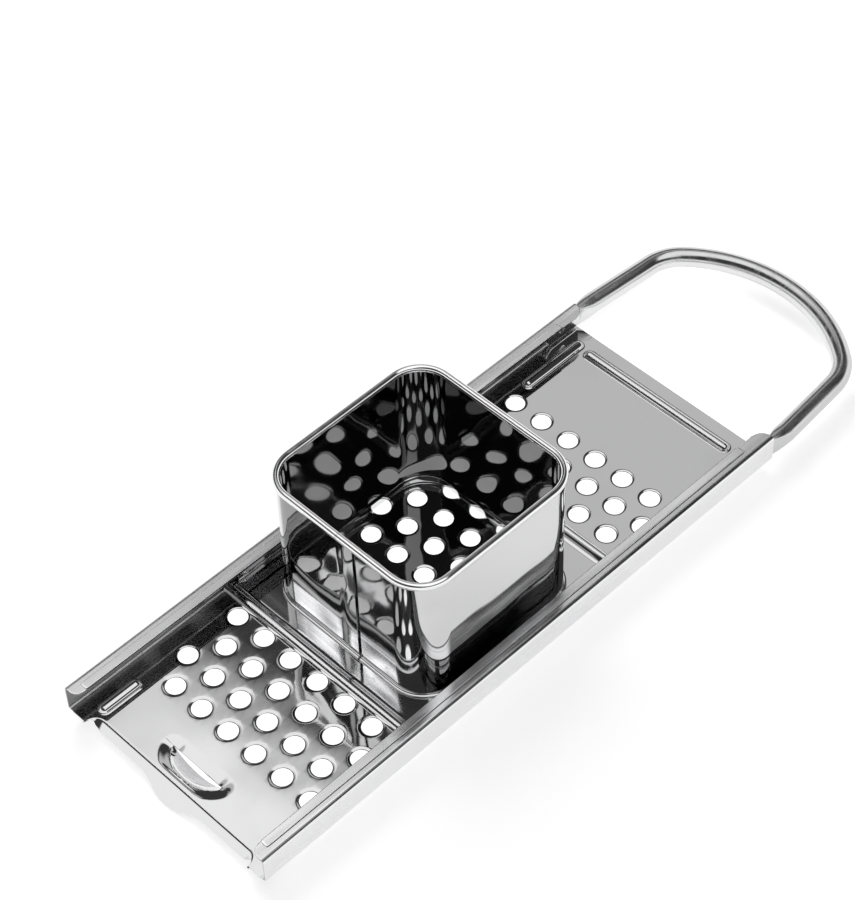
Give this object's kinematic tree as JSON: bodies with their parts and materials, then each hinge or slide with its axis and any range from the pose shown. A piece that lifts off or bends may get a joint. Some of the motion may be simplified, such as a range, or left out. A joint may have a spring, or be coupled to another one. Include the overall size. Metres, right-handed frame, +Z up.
{
  "type": "spaetzle maker",
  "caption": "Spaetzle maker: perforated plate with folded rails, an arched wire-like tube handle, and an open rounded-square hopper on a carriage that slides along the rails.",
  "frame": {"origin": "centre of the overall box across and along, on the level of its lowest point, which is the front tab's tip", "axes": "+Z up, out of the hopper's mouth; +Y along the rails towards the handle; +X across the plate"},
  "size_m": [0.1158, 0.3593, 0.0759],
  "materials": {
    "plate_steel": "mirror-polished stainless steel sheet",
    "handle_steel": "mirror-polished stainless steel tube",
    "carriage_steel": "mirror-polished stainless steel sheet",
    "hopper_steel": "mirror-polished stainless steel sheet"
  },
  "bodies": {
    "plate": {"grater_plate": "plate_steel", "left_rail": "plate_steel", "right_rail": "plate_steel", "handle_bow": "handle_steel", "left_spot_weld": "handle_steel", "right_spot_weld": "handle_steel"},
    "hopper_carriage": {"carriage_plate": "carriage_steel", "hopper_wall": "hopper_steel", "rim_bead": "hopper_steel"}
  },
  "joints": [
    {"name": "carriage_slide", "type": "slide", "parent": "plate", "child": "hopper_carriage", "axis": [0, 1, 0], "range_m": [-0.05, 0.042]}
  ]
}
